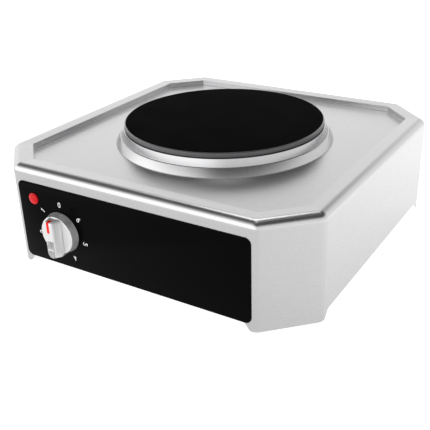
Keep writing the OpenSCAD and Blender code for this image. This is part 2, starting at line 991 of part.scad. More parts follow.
module switch_case() {
    color("DarkSlateGray")
        difference() {
            translate([-dial_x - switch_w / 2, switch_y, dial_z - switch_w / 2])
                cube([switch_w, switch_d, switch_w]);
            to_front(-dial_x, switch_end - switch_wall, dial_z)
                cylinder(h = switch_d - 2 * switch_wall, r = cam_r + cam_gap);
            translate([-dial_x - cam_r, switch_y + switch_wall, dial_z + cam_r])
                cube([2 * cam_r, switch_d - 2 * switch_wall, switch_w / 2 - cam_r - switch_roof]);
            to_front(-dial_x, switch_end + over, dial_z)
                cylinder(h = switch_d + 2 * over, r = shaft_r + shaft_play);
            for (s = [-1, 1])
                to_front(-dial_x + s * switch_screw_x, switch_y + switch_screw_seat, dial_z)
                    cylinder(h = switch_screw_seat + over, r = switch_screw_r + touch);
        }
}

module switch_plate() {
    color("LightGray")
        difference() {
            translate([-dial_x - switch_w / 2 - plate_lap, inner_y, dial_z - switch_w / 2])
                cube([switch_w + 2 * plate_lap, switch_plate_t, switch_w]);
            to_front(-dial_x, switch_y + over, dial_z)
                cylinder(h = switch_plate_t + 2 * over, r = shaft_r + shaft_play);
            for (s = [-1, 1])
                to_front(-dial_x + s * switch_screw_x, switch_y + over, dial_z)
                    cylinder(h = switch_plate_t + 2 * over, r = switch_screw_r + hole_gap / 2);
        }
}

module switch_screws() {
    color("Gray")
        for (s = [-1, 1])
            to_front(-dial_x + s * switch_screw_x, panel_y, dial_z) {
                cylinder(h = switch_head_h, r = switch_screw_r * switch_head);
                translate([0, 0, panel_y - switch_y - switch_screw_in])
                    cylinder(h = switch_y + switch_screw_in - panel_y + eps, r = switch_screw_r);
            }
}

module switch_contacts() {
    color("Peru")
        for (k = [0 : 3])
            translate([
                -dial_x + (k - 1.5) * contact_pitch - contact_w / 2,
                switch_y + switch_wall,
                dial_z + cam_r + contact_gap
            ])
                cube([contact_w, switch_d - 2 * switch_wall, contact_t]);
}

module switch_tabs() {
    color("Goldenrod")
        for (c = [-1 : 1])
            for (r = [-1, 1])
                translate(tab_at(c, r) - [tab_w / 2, 0, tab_t / 2])
                    cube([tab_w, tab_len, tab_t]);
}

module pilot_lens() {
    color("Red")
        to_front(-pilot_x, panel_y, pilot_z)
            difference() {
                union() {
                    cylinder(h = lens_flange, r = lens_r);
                    intersection() {
                        translate([0, 0, lens_h - dome * lens_r])
                            sphere(r = dome * lens_r);
                        translate([0, 0, lens_flange / 2])
                            cylinder(h = lens_h, r = lens_r - lens_step);
                    }
                }
                translate([0, 0, -over])
                    cylinder(h = lens_flange / 2 + over, r = barrel_r - barrel_wall);
            }
}

module pilot_barrel() {
    color("Black")
        to_front(-pilot_x, panel_y + barrel_len, pilot_z)
            difference() {
                cylinder(h = barrel_len, r = barrel_r);
                translate([0, 0, barrel_floor])
                    cylinder(h = barrel_len, r = barrel_r - barrel_wall);
                for (s = [-1, 1])
                    translate([s * lamp_wire_x, 0, -over])
                        cylinder(h = barrel_floor + 2 * over, r = pilot_wire_r + wire_gap);
            }
}

module pilot_clip() {
    color("LightGray")
        to_front(-pilot_x, inner_y + clip_t, pilot_z)
            difference() {
                cylinder(h = clip_t, r = barrel_r + clip_lip);
                translate([0, 0, -over])
                    cylinder(h = clip_t + 2 * over, r = barrel_r + touch);
            }
}

module neon_lamp() {
    color("Orange")
        to_front(-pilot_x, panel_y + neon_in, pilot_z) {
            cylinder(h = neon_len, r = neon_r);
            translate([0, 0, neon_len])
                sphere(r = neon_r - touch);
        }
}

module pilot_wires() {
    y = panel_y + neon_in;
    up = tab_at(0, 1) + [-pilot_tab_x, tab_len, 0];
    low = tab_at(0, -1) + [-pilot_tab_x, tab_len, 0];
    color("RoyalBlue") {
        wire([
            [-pilot_x + lamp_wire_x, y, pilot_z],
            [-pilot_x + lamp_wire_x, switch_end, pilot_z],
            up + [-3, 6, 12],
            up + [0, 8, 0],
            up
        ], pilot_wire_r);
        wire([
            [-pilot_x - lamp_wire_x, y, pilot_z],
            [-pilot_x - lamp_wire_x, switch_end + 6, pilot_z],
            up + [-4, 14, 14],
            low + [-4, 14, 6],
            low + [0, 6, 0],
            low
        ], pilot_wire_r);
    }
}

module gland_body() {
    color([0.15, 0.15, 0.15])
        to_front(gland_x, half_d + gland_hex_t, gland_z)
            difference() {
                union() {
                    hex(gland_af, gland_hex_t);
                    cylinder(h = gland_hex_t + sheet_t + gland_in_len, r = gland_r);
                    translate([0, 0, -gland_neck])
                        cylinder(h = gland_neck + eps, r = gland_r - gland_step);
                }
                translate([0, 0, -gland_neck - over])
                    cylinder(h = gland_len + 2 * over, r = gland_bore_r);
            }
}

module gland_locknut() {
    color([0.2, 0.2, 0.2])
        to_front(gland_x, inner_back, gland_z)
            difference() {
                hex(gland_af, locknut_t);
                translate([0, 0, -over])
                    cylinder(h = locknut_t + 2 * over, r = gland_r + touch);
            }
}

module gland_seal() {
    start = half_d + gland_hex_t - seal_in;
    end = gland_end - cap_end_t;
    color("Black")
        to_front(gland_x, end, gland_z)
            difference() {
                cylinder(h = end - start, r = gland_bore_r - touch);
                translate([0, 0, -over])
                    cylinder(h = end - start + 2 * over, r = seal_bore_r);
            }
}

module gland_cap() {
    start = half_d + gland_hex_t + cap_gap;
    cap_r = gland_r + cap_wall;
    color([0.12, 0.12, 0.12])
        to_front(gland_x, gland_end, gland_z)
            difference() {
                union() {
                    cylinder(h = cap_cone, r1 = cap_r - cap_taper, r2 = cap_r);
                    translate([0, 0, cap_cone - eps])
                        cylinder(h = gland_end - start - cap_cone + eps, r = cap_r);
                }
                translate([0, 0, -over])
                    cylinder(h = cap_end_t + 2 * over, r = seal_bore_r + cap_hole_gap);
                translate([0, 0, cap_end_t])
                    cylinder(h = gland_end - start, r = gland_r - gland_step + touch);
            }
}

module mains_block() {
    color("WhiteSmoke")
        difference() {
            translate([block_x - block_w / 2, block_y - block_d / 2, bracket_z])
                cube([block_w, block_d, block_h]);
            for (k = [-1 : 1])
                translate([block_x + k * pole_pitch, block_y + block_d / 2 + over, pole_z])
                    rotate([90, 0, 0])
                        cylinder(h = block_d + 2 * over, r = sleeve_r);
            for (k = [-1 : 1])
                for (s = [-1, 1])
                    translate([block_x + k * pole_pitch, block_y + s * clamp_y, pole_z])
                        cylinder(h = block_h, r = clamp_head_r + clamp_gap);
            translate([block_x + pole_pitch / 2, block_y, bracket_z - over])
                cylinder(h = block_h + 2 * over, r = block_hole_r);
        }
}

module mains_sleeves() {
    color("Gold")
        for (k = [-1 : 1])
            translate([block_x + k * pole_pitch, block_y + block_d / 2 - sleeve_in, pole_z])
                rotate([90, 0, 0])
                    difference() {
                        cylinder(h = block_d - 2 * sleeve_in, r = sleeve_r - touch);
                        translate([0, 0, -over])
                            cylinder(h = block_d - 2 * sleeve_in + 2 * over, r = wire_r + touch);
                        for (s = [-1, 1])
                            translate([0, 0, block_d / 2 - sleeve_in + clamp_y * s])
                                rotate([-90, 0, 0])
                                    cylinder(h = 2 * sleeve_r, r = clamp_r + touch);
                    }
}

module mains_screws() {
    color("DarkGoldenrod")
        for (k = [-1 : 1])
            for (s = [-1, 1])
                translate([block_x + k * pole_pitch, block_y + s * clamp_y, pole_z]) {
                    translate([0, 0, wire_r + clamp_gap])
                        cylinder(h = clamp_neck, r = clamp_r);
                    translate([0, 0, clamp_head_at])
                        cylinder(h = clamp_head_h, r = clamp_head_r);
                }
}

module supply_live() {
    color("SaddleBrown")
        supply(-1, 1, 0);
}

module supply_neutral() {
    color("DodgerBlue")
        supply(0, -1, 1);
}

// Supply wire from pole k to the switch's middle tab in row r, in lane n
module supply(k, r, n) {
    x = block_x + k * pole_pitch;
    y = block_y - block_d / 2 + sleeve_in;
    z = pole_z;
    t = tab_at(0, r) + [0, tab_len, 0];
    wire([
        [x, y + 3, z],
        [x, y - 14 - 8 * n, z],
        [t.x + 16 + 8 * n, t.y + 30 - 8 * n, z],
        [t.x + 1.5, t.y + 14, t.z - 3],
        [t.x + 1.5, t.y + 8, t.z],
        [t.x + 1.5, t.y, t.z]
    ], wire_r);
}

module earth_stud() {
    color("Gray")
        to_front(earth_x, inner_back, earth_z)
            cylinder(h = earth_len, r = earth_r);
}

module earth_nut() {
    color("DarkGray")
        to_front(earth_x, inner_back - earth_nut_at, earth_z)
            difference() {
                hex(earth_nut_af, earth_nut_h);
                translate([0, 0, -over])
                    cylinder(h = earth_nut_h + 2 * over, r = earth_r + touch);
            }
}

// Ring terminal n on the earth stud
module lug(n) {
    to_front(earth_x, inner_back - 1 - n, earth_z)
        difference() {
            cylinder(h = lug_t, r = lug_r);
            translate([0, 0, -over])
                cylinder(h = lug_t + 2 * over, r = earth_r + touch);
        }
}

module supply_earth() {
    x = block_x + pole_pitch;
    y = block_y - block_d / 2 + sleeve_in;
    z = pole_z;
    color("YellowGreen") {
        lug(0);
        wire([
            [x, y + 3, z],
            [x, y - 8, z],
            [block_x + 26, y, z + 14],
            [earth_x + 16, inner_back - 16, earth_z - 14],
            [earth_x + 4.6, inner_back - 1.6, earth_z - 4.6]
        ], wire_r);
    }
}

module plate_earth() {
    color("YellowGreen") {
        lug(lug_pitch);
        wire([
            [earth_x - 4.6, inner_back - 3.6, earth_z + 4.6],
            [earth_x - 12, inner_back - 14, earth_z + 12],
            [-30, 50, bar_z - 20],
            [-40, 0, bar_z - 10],
            [-40, 0, bar_z]
        ], wire_r);
    }
}

module plate_wires() {
    color("WhiteSmoke")
        for (k = [0 : 3]) {
            c = k < 2 ? -1 : 1;
            r = k % 2 == 0 ? 1 : -1;
            t = tab_at(c, r) + [0, tab_len, 0];
            p = pin_at(k) + [0, 0, pin_low - tab_len];
            wire([
                t,
                [t.x, t.y + 22, t.z],
                [p.x, p.y - 30, p.z - 16],
                [p.x, p.y, p.z - 10],
                p
            ], plate_wire_r);
        }
}

module rating_plate() {
    color("LightGray")
        translate([rating_x, half_d, rating_z])
            cube([rating_w, rating_t, rating_h]);
}

housing();
base_cover();
bracket_back_right();
bracket_back_left();
bracket_front_left();
bracket_front_right();
foot_back_right();
foot_back_left();
foot_front_left();
foot_front_right();
foot_screws();
hotplate_disc();
insulation();
coil_inner();
coil_middle();
coil_outer();
coil_leads();
pan();
spill_ring();
clamp_stud();
clamp_bar();
clamp_washer();
clamp_nut();
plate_terminal();
plate_pins();
control_panel();
knob_body();
knob_pointer();
knob_spring();
switch_shaft();
switch_cam();
switch_case();
switch_plate();
switch_screws();
switch_contacts();
switch_tabs();
pilot_lens();
pilot_barrel();
pilot_clip();
neon_lamp();
pilot_wires();
gland_body();
gland_locknut();
gland_seal();
gland_cap();
mains_block();
mains_sleeves();
mains_screws();
supply_live();
supply_neutral();
supply_earth();
plate_earth();
earth_stud();
earth_nut();
plate_wires();
rating_plate();
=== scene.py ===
import json
import math

import bmesh
import bpy
from mathutils import Matrix, Vector


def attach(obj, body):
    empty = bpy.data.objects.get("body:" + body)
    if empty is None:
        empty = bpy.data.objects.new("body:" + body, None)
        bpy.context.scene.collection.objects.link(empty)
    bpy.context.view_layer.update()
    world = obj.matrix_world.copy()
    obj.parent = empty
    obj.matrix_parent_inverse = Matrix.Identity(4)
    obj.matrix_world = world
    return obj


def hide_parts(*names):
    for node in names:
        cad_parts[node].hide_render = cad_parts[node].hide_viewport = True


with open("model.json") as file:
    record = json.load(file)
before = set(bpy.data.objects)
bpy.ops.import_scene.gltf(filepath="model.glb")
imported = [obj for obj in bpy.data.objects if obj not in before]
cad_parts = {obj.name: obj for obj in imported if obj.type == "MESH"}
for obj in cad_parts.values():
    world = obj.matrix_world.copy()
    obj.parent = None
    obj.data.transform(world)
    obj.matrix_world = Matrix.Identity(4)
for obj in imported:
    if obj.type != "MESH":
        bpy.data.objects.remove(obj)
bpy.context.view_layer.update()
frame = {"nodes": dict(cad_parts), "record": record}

NODES = frame["nodes"]
SLOT_OF = {s["node"]: s["material_slot"] for s in frame["record"]["subparts"]}
MM = 0.001
SMOOTH = 32.0           # degrees; sharper edges stay crisp

# ---------------------------------------------------------------- sizes, millimetres
HALF = 185.0            # half the housing's width and depth
CUT = 45.0              # corner chamfer
CORNER_R = 10.0         # upright edges
INNER_R = 2.0           # upright edges inside the bend
BEND_R = 8.5            # bend from wall to rim
RIM_H = 112.0           # flat rim above the table
STEP_IN = 21.0          # step, inside the wall
TRAY_Z = 105.7          # tray at the ring
SHEET = 1.2
LEG_GAP = 1.5           # lower edge of the corner legs above the table
WALL_GAP = 9.5          # raised lower edge of the walls above the table
LEG_END = 0.2           # distance from a leg's edge to where its curve starts
RAISED_HALF = 127.0     # half length of a raised wall edge
EDGE_FILLET = 0.45      # edge of the step
RIM_SLOPE = 0.035       # fall of the flat rim towards the tray
TRAY_FALL = 0.3         # fall of the tray from the ring to the step
TRAY_CURVE = 1.4        # how late the tray rises to the ring
FOOT_FILLET = 0.5       # foot of the step
STRAIGHT_HALF = HALF - CUT - CORNER_R * math.tan(math.radians(22.5))
PLATE_R = 110.0
PLATE_Z = 128.0
PLATE_BEVEL = 1.2
SEAT_Z = 118.9          # seat of the plate on the ring
BODY_R = 104.0          # lower body of the plate
BODY_Z = 110.0
TRAY_HOLE_R = BODY_R + 3
CHANNEL_Z = 118.6       # top of the heating channels
CHANNEL_OUT = 98.0
BOSS_R = 22.0
RIB = 2.0
CHANNEL_W = (CHANNEL_OUT - BOSS_R - 2 * RIB) / 3
STUD_R = 4.02
STUD_DEPTH = 9.0
NECK_IN = 0.9           # the plate's rim narrows behind the ring's lip
LIP_Z = 122.3           # top of the ring's lip
CREASE_Z = 114.3        # crease of the ring
CREASE_R = PLATE_R + 3.3
RING_T = 0.8
RING_FOOT_R = 120.5
PANEL_HALF = 136.0
PANEL_TOP = 96.0
PANEL_T = 0.8
PANEL_R = 6.5
FRONT_Y = -HALF
PANEL_Y = FRONT_Y - PANEL_T
DIAL = (-82.0, 49.0)    # X and Z of the dial's axis
PILOT = (-116.0, 79.0)
BARREL_R = 4.8
LENS_R = 6.0
LENS_FLANGE = 1.2
LENS_H = 3.0
SCREW_X = 14.0          # switch screws beside the dial's axis
SCREW_HOLE_R = 2.1
SHAFT_HOLE_R = 6.0
HOLE_GAP = 0.2
DRILL_DEPTH = 3.0
KNOB_Y = PANEL_Y - 0.5
KNOB_R = 22.0
KNOB_FACE_R = 19.7
KNOB_DISC = 8.5
KNOB_H = 19.0
GRIP_BASE = 16.0        # width of the grip at the disc
GRIP_TOP = 10.0         # width of the grip at its front
GRIP_UP = 19.0
GRIP_DOWN = 24.5
GRIP_LIFT = 1.0         # gap between the grip's lower end and the knob's back
GRIP_EDGE = 1.3         # rounding round the grip's front
GRIP_CORNER = 2.6       # rounding of the grip's upper corners
POINTER_PROUD = 0.15    # the grip stops this far inside the pointer's faces
POINTER_HALF = 1.6
POINTER_T = 0.8
POINTER_DOWN = 6.0
POINTER_FROM = 0.36     # start of the pointer as a share of the grip's upper half
SEAM_W = 0.55           # seam where the grip meets the disc
SEAM_HALF = 17.6
HUB_R = 7.0
BORE_R = 3.06
BORE_DEPTH = 13.0
HOLLOW_R = 18.6
HOLLOW = 5.0
GLAND = (100.0, 42.0)   # X and Z of the cable gland
GLAND_R = 9.9
GLAND_END = 205.3
GLAND_START = 190.5
CAP_WALL = 1.6
CAP_BORE = 5.5
CAP_END = 2.0           # thickness of the cap's end
CAP_INSIDE_R = GLAND_R - 0.58
RIB_COUNT = 18
RIB_DEPTH = 0.45


# ---------------------------------------------------------------- camera
# The view from the right, above and in front: heading, tilt and roll in degrees.
CAMERA_PLACE = Vector((0.3965, -0.6546, 0.3836))
HEADING = 32.2
TILT = 26.2
ROLL = -1.7
FOCAL_PX = 721.8
FRAME_PX = 430.0
SENSOR = 36.0


def add_camera():
    heading, tilt, roll = (math.radians(a) for a in (HEADING, TILT, ROLL))
    forward = Vector((-math.sin(heading) * math.cos(tilt), math.cos(heading) * math.cos(tilt),
                      -math.sin(tilt)))
    right = Vector((math.cos(heading), math.sin(heading), 0))
    up = right.cross(forward)
    side = right * math.cos(roll) + up * math.sin(roll)
    top = -right * math.sin(roll) + up * math.cos(roll)
    data = bpy.data.cameras.new("camera")
    data.sensor_width = SENSOR
    data.lens = FOCAL_PX / FRAME_PX * SENSOR
    data.clip_start = 0.01
    camera = bpy.data.objects.new("camera", data)
    turn = Matrix((side, top, -forward)).transposed().to_4x4()
    camera.matrix_world = Matrix.Translation(CAMERA_PLACE) @ turn
    bpy.context.scene.collection.objects.link(camera)
    bpy.context.scene.camera = camera


add_camera()


# ---------------------------------------------------------------- materials
def new_material(name):
    material = bpy.data.materials.new(name)
    material.use_nodes = True
    return material, material.node_tree.nodes, material.node_tree.links


def node_of(nodes, kind, **values):
    made = nodes.new(kind)
    for key, value in values.items():
        if key in made.inputs:
            made.inputs[key].default_value = value
        else:
            setattr(made, key, value)
    return made


def spread(nodes, links, source, low, high):
    """Noise, which mostly lies between 0.3 and 0.7, spread from low to high."""
    ranged = node_of(nodes, "ShaderNodeMapRange")
    ranged.inputs["From Min"].default_value = 0.3
    ranged.inputs["From Max"].default_value = 0.7
    ranged.inputs["To Min"].default_value = low
    ranged.inputs["To Max"].default_value = high
    links.new(source, ranged.inputs["Value"])
    return ranged.outputs["Result"]


def scaled(colour, k):
    return (min(1.0, colour[0] * k), min(1.0, colour[1] * k), min(1.0, colour[2] * k), 1.0)


def surface(name, colour, rough, metal=0.0, grain=1.0, bump=0.02, vary=0.12, rough_vary=0.08,
            stretch=(1, 1, 1), cloud=30.0, specular=0.5, coat=0.0, clear=0.0):
    """A surface with grain of a size in mm, stretched along an axis for brushing, and soft wear clouds."""
    material, nodes, links = new_material(name)
    shader = nodes["Principled BSDF"]
    shader.inputs["Metallic"].default_value = metal
    shader.inputs["Specular IOR Level"].default_value = specular
    shader.inputs["Coat Weight"].default_value = coat
    shader.inputs["Transmission Weight"].default_value = clear
    place = node_of(nodes, "ShaderNodeTexCoord")
    turn = node_of(nodes, "ShaderNodeMapping")
    turn.inputs["Scale"].default_value = [1 / (grain * MM * s) for s in stretch]
    links.new(place.outputs["Object"], turn.inputs["Vector"])
    fine = node_of(nodes, "ShaderNodeTexNoise", Scale=1.0, Detail=3.0, Roughness=0.6)
    links.new(turn.outputs["Vector"], fine.inputs["Vector"])
    soft = node_of(nodes, "ShaderNodeTexNoise", Scale=1 / (cloud * MM), Detail=4.0, Roughness=0.55)
    links.new(place.outputs["Object"], soft.inputs["Vector"])
    both = node_of(nodes, "ShaderNodeMix", data_type="FLOAT")
    both.inputs[0].default_value = 0.4
    links.new(fine.outputs["Fac"], both.inputs[2])
    links.new(soft.outputs["Fac"], both.inputs[3])
    tone = node_of(nodes, "ShaderNodeMix", data_type="RGBA")
    tone.inputs[6].default_value = scaled(colour, 1 - vary)
    tone.inputs[7].default_value = scaled(colour, 1 + vary)
    links.new(spread(nodes, links, both.outputs[0], 0.0, 1.0), tone.inputs[0])
    links.new(tone.outputs[2], shader.inputs["Base Color"])
    links.new(spread(nodes, links, both.outputs[0], max(0.02, rough - rough_vary),
                     min(1.0, rough + rough_vary)),
              shader.inputs["Roughness"])
    raised = node_of(nodes, "ShaderNodeBump", Strength=1.0, Distance=bump * MM)
    links.new(fine.outputs["Fac"], raised.inputs["Height"])
    links.new(raised.outputs["Normal"], shader.inputs["Normal"])
    return material


STEEL = (0.50, 0.50, 0.505)
steel_top = surface("steel_top", STEEL, 0.29, metal=1.0, grain=0.35, bump=0.0025, vary=0.03, rough_vary=0.03,
                    stretch=(60, 1, 1), cloud=60)
steel_side = surface("steel_side", STEEL, 0.27, metal=1.0, grain=0.35, bump=0.0025, vary=0.03,
                     rough_vary=0.03, stretch=(60, 60, 1), cloud=60)
steel_ring = surface("steel_ring", (0.44, 0.44, 0.445), 0.26, metal=1.0, grain=0.4, bump=0.002, vary=0.03,
                     rough_vary=0.03, cloud=40)
plate_black = surface("plate_black", (0.0009, 0.0009, 0.001), 0.6, grain=0.9, bump=0.05, vary=0.6,
                      rough_vary=0.1, cloud=40, specular=0.004)
plate_side = surface("plate_side", (0.17, 0.17, 0.175), 0.38, metal=0.9, grain=0.25, bump=0.006, vary=0.15,
                     stretch=(40, 40, 1), cloud=25)
print_white = surface("print_white", (0.86, 0.86, 0.86), 0.5, grain=0.3, bump=0.004, vary=0.04, cloud=8)
# darker copy of the knob's grey for the disc's sloping side: painted shade; its grain runs along the axis
knob_skirt_painted_shade = surface("knob_skirt_painted_shade", (0.50, 0.50, 0.505), 0.34, metal=0.6, grain=0.3, bump=0.01, vary=0.2,
                     rough_vary=0.06, stretch=(1, 40, 1), cloud=6)
# darker copy of the knob's grey for the finger scoops: painted shade in the dished grip front
knob_scoop_painted_shade = surface("knob_scoop_painted_shade", (0.36, 0.36, 0.365), 0.4, metal=0.5, grain=0.18, bump=0.004, vary=0.08,
                     cloud=6)

LOOKS = {
    "stainless": steel_side,
    "galvanised": surface("galvanised", (0.55, 0.56, 0.57), 0.42, metal=1.0, grain=6, bump=0.01,
                          vary=0.12, cloud=14),
    "rubber": surface("rubber", (0.03, 0.03, 0.03), 0.75, grain=0.5, bump=0.04, vary=0.25, cloud=9,
                      specular=0.3),
    "screw_steel": surface("screw_steel", (0.6, 0.6, 0.58), 0.3, metal=1.0, grain=0.4, bump=0.006,
                           vary=0.1, cloud=5),
    "iron": surface("iron", (0.05, 0.048, 0.046), 0.7, metal=0.3, grain=0.8, bump=0.08, vary=0.35, cloud=20),
    "ceramic_fill": surface("ceramic_fill", (0.62, 0.58, 0.5), 0.9, grain=0.7, bump=0.06, vary=0.15,
                            cloud=12),
    "coil_sheath": surface("coil_sheath", (0.3, 0.27, 0.25), 0.45, metal=0.9, grain=0.5, bump=0.01,
                           vary=0.3, cloud=12),
    "white_ceramic": surface("white_ceramic", (0.82, 0.8, 0.75), 0.25, grain=1.5, bump=0.01, vary=0.05,
                             cloud=10, coat=0.4),
    "brass": surface("brass", (0.72, 0.52, 0.22), 0.3, metal=1.0, grain=0.3, bump=0.005, vary=0.12, cloud=6),
    "panel_black": surface("panel_black", (0.0009, 0.0009, 0.001), 0.2, grain=0.25, bump=0.0012, vary=0.3,
                           rough_vary=0.04, cloud=50, specular=0.025),
    "knob_grey": surface("knob_grey", (0.70, 0.70, 0.705), 0.36, metal=0.55, grain=0.18, bump=0.004,
                         vary=0.04, rough_vary=0.05, cloud=10),
    "pointer_red": surface("pointer_red", (0.82, 0.010, 0.003), 0.4, grain=0.3, bump=0.003, vary=0.06,
                           cloud=5, specular=0.12),
    "switch_body": surface("switch_body", (0.045, 0.045, 0.045), 0.5, grain=0.4, bump=0.015, vary=0.15,
                           cloud=12),
    "cam_white": surface("cam_white", (0.78, 0.78, 0.74), 0.45, grain=0.4, bump=0.01, vary=0.06, cloud=8),
    "lens_red": surface("lens_red", (0.60, 0.004, 0.008), 0.14, grain=1.6, bump=0.04, vary=0.16, cloud=5,
                        specular=0.22),
    "bulb_glass": surface("bulb_glass", (0.95, 0.72, 0.5), 0.06, grain=2, bump=0.004, vary=0.05, cloud=6,
                          clear=0.8),
    "black_plastic": surface("black_plastic", (0.03, 0.03, 0.03), 0.5, grain=0.4, bump=0.015, vary=0.2,
                             cloud=10),
    "wire_brown": surface("wire_brown", (0.16, 0.07, 0.03), 0.45, grain=0.6, bump=0.01, vary=0.12, cloud=8),
    "wire_blue": surface("wire_blue", (0.03, 0.12, 0.4), 0.45, grain=0.6, bump=0.01, vary=0.12, cloud=8),
    "wire_green_yellow": surface("wire_green_yellow", (0.3, 0.5, 0.05), 0.45, grain=3, bump=0.01,
                                 vary=0.7, cloud=8),
    "wire_white": surface("wire_white", (0.75, 0.73, 0.68), 0.85, grain=0.5, bump=0.12, vary=0.12, cloud=6),
    "label_foil": surface("label_foil", (0.68, 0.68, 0.69), 0.38, metal=0.9, grain=0.4, bump=0.003, vary=0.06,
                          stretch=(30, 1, 1), cloud=15),
}


# ---------------------------------------------------------------- mesh helpers
def mesh_object(name, vertices, faces, smooth_angle=SMOOTH):
    """An object from points in millimetres."""
    mesh = bpy.data.meshes.new(name)
    mesh.from_pydata([Vector(v) * MM for v in vertices], [], faces)
    made = bpy.data.objects.new(name, mesh)
    bpy.context.scene.collection.objects.link(made)
    work = bmesh.new()
    work.from_mesh(mesh)
    bmesh.ops.remove_doubles(work, verts=work.verts, dist=1e-7)
    bmesh.ops.recalc_face_normals(work, faces=work.faces)
    work.to_mesh(mesh)
    work.free()
    smooth(made, smooth_angle)
    return made


def smooth(made, angle):
    made.data.polygons.foreach_set("use_smooth", [True] * len(made.data.polygons))
    made.data.set_sharp_from_angle(angle=math.radians(angle))
    made.data.update()


def bake_modifiers(made, smooth_angle=SMOOTH):
    graph = bpy.context.evaluated_depsgraph_get()
    mesh = bpy.data.meshes.new_from_object(made.evaluated_get(graph))
    made.modifiers.clear()
    made.data = mesh
    mesh.name = made.name
    smooth(made, smooth_angle)


def combine(made, other, operation, smooth_angle=SMOOTH):
    step = made.modifiers.new("combine", "BOOLEAN")
    step.object = other
    step.operation = operation
    step.solver = "EXACT"
    bake_modifiers(made, smooth_angle)
    bpy.data.objects.remove(other)


def even_normals(made):
    step = made.modifiers.new("even", "WEIGHTED_NORMAL")
    step.keep_sharp = True
    step.weight = 80


def strips(rows, count):
    """Faces between neighbouring closed rows of vertices, count in each."""
    faces = []
    for r in range(rows - 1):
        for i in range(count):
            j = (i + 1) % count
            faces.append((r * count + i, r * count + j, (r + 1) * count + j, (r + 1) * count + i))
    return faces


def stacked(rows, count):
    """Faces of a closed solid made of rows of vertices, with both of its ends."""
    ends = [tuple(range(count))[::-1], tuple((rows - 1) * count + i for i in range(count))]
    return strips(rows, count) + ends


def lathe(name, profile, segments=160, place=None, smooth_angle=SMOOTH, ripple=None):
    """A solid turned round an axis from a closed profile of (radius, height) points in millimetres."""
    vertices, faces = [], []
    count = len(profile)
    for i in range(segments):
        a = 2 * math.pi * i / segments
        for r, h in profile:
            rr = r if ripple is None else ripple(r, h, a)
            p = Vector((rr * math.cos(a), rr * math.sin(a), h))
            vertices.append(p if place is None else place(p))
    for i in range(segments):
        j = (i + 1) % segments
        for k in range(count):
            m = (k + 1) % count
            if profile[k][0] < 1e-6 and profile[m][0] < 1e-6:
                continue
            faces.append((i * count + k, j * count + k, j * count + m, i * count + m))
    made = mesh_object(name, vertices, faces, smooth_angle)
    work = bmesh.new()
    work.from_mesh(made.data)
    bmesh.ops.dissolve_degenerate(work, dist=1e-7, edges=work.edges)
    bmesh.ops.recalc_face_normals(work, faces=work.faces)
    work.to_mesh(made.data)
    work.free()
    smooth(made, smooth_angle)
    return made


def fillet(before, corner, after, radius, steps=4):
    """Points of a rounded corner between two straight lines, in any plane."""
    b, c, a = Vector(before), Vector(corner), Vector(after)
    u, v = (b - c).normalized(), (a - c).normalized()
    half = math.acos(max(-1.0, min(1.0, u.dot(v)))) / 2
    length = min(radius / math.tan(half), 0.49 * (b - c).length, 0.49 * (a - c).length)
    radius = length * math.tan(half)
    centre = c + (u + v).normalized() * (radius / math.sin(half))
    start, end = c + u * length, c + v * length
    points = []
    for i in range(steps + 1):
        w = (start - centre).lerp(end - centre, i / steps).normalized() * radius
        points.append(tuple(centre + w))
    return points


def rounded(points, closed=True, steps=4):
    """A line of (x, y, radius) points with its corners rounded."""
    out = []
    n = len(points)
    for i, p in enumerate(points):
        if p[2] <= 0 or (not closed and i in (0, n - 1)):
            out.append((p[0], p[1]))
        else:
            b, a = points[i - 1], points[(i + 1) % n]
            out.extend(fillet(b[:2], p[:2], a[:2], p[2], steps))
    return out


def to_front(x, y, z):
    """Turns local points, with their third value pointing out of the front wall, to the place (x, y, z)."""
    return lambda p: Vector((x + p.x, y - p.z, z + p.y))


def to_back(x, y, z):
    return lambda p: Vector((x - p.x, y + p.z, z + p.y))


def drill(x, y, z, radius, depth=DRILL_DEPTH):
    return lathe("drill", [(0, -depth), (radius, -depth), (radius, depth), (0, depth)], 48, to_front(x, y, z))


def drill_front(made, y, smooth_angle):
    """Holes for the switch shaft, the switch screws and the lamp's barrel."""
    holes = [(DIAL[0], DIAL[1], SHAFT_HOLE_R)]
    holes += [(DIAL[0] + s * SCREW_X, DIAL[1], SCREW_HOLE_R) for s in (-1, 1)]
    holes.append((PILOT[0], PILOT[1], BARREL_R + HOLE_GAP))
    for x, z, radius in holes:
        combine(made, drill(x, y, z, radius), "DIFFERENCE", smooth_angle)


def finish_piece(made, body, replaced, slot, *materials):
    made.data.materials.clear()
    for material in materials or (LOOKS[slot],):
        made.data.materials.append(material)
    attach(made, body)
    if replaced:
        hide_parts(*replaced)


def paint_faces(made, chooser):
    for face in made.data.polygons:
        face.material_index = chooser(face)


# ---------------------------------------------------------------- housing
def corner_data(inset, radius, k):
    """Centre of the rounded edge between walls k and k + 1 of the eight, drawn in by the inset."""
    far = [HALF if i % 2 == 0 else (2 * HALF - CUT) / math.sqrt(2) for i in (k, k + 1)]
    a0, a1 = math.radians(45 * k), math.radians(45 * (k + 1))
    d0, d1 = far[0] - inset - radius, far[1] - inset - radius
    det = math.cos(a0) * math.sin(a1) - math.sin(a0) * math.cos(a1)
    return Vector(((d0 * math.sin(a1) - d1 * math.sin(a0)) / det,
                   (d1 * math.cos(a0) - d0 * math.cos(a1)) / det))


# Divisions of a straight wall (from its end, then from its middle), of a chamfer and of a rounded edge
WALL_ENDS = (0.0, 0.5, 1.3, 2.2, 3.1, 4.0, 4.9, 5.8, 6.7, 7.6, 8.4, 9.0, 10.5, 16)
WALL_MIDDLES = (92, 66, 44, 22)
CHAMFER_PARTS = (0, 0.012, 0.2, 0.4, 0.6, 0.8, 0.988, 1.0)
HEIGHT_PARTS = (0.0, 0.015, 0.25, 0.5, 0.75, 0.985, 1.0)
EDGE_STEPS = 8
BEND_STEPS = 12
FILLET_STEPS = 4
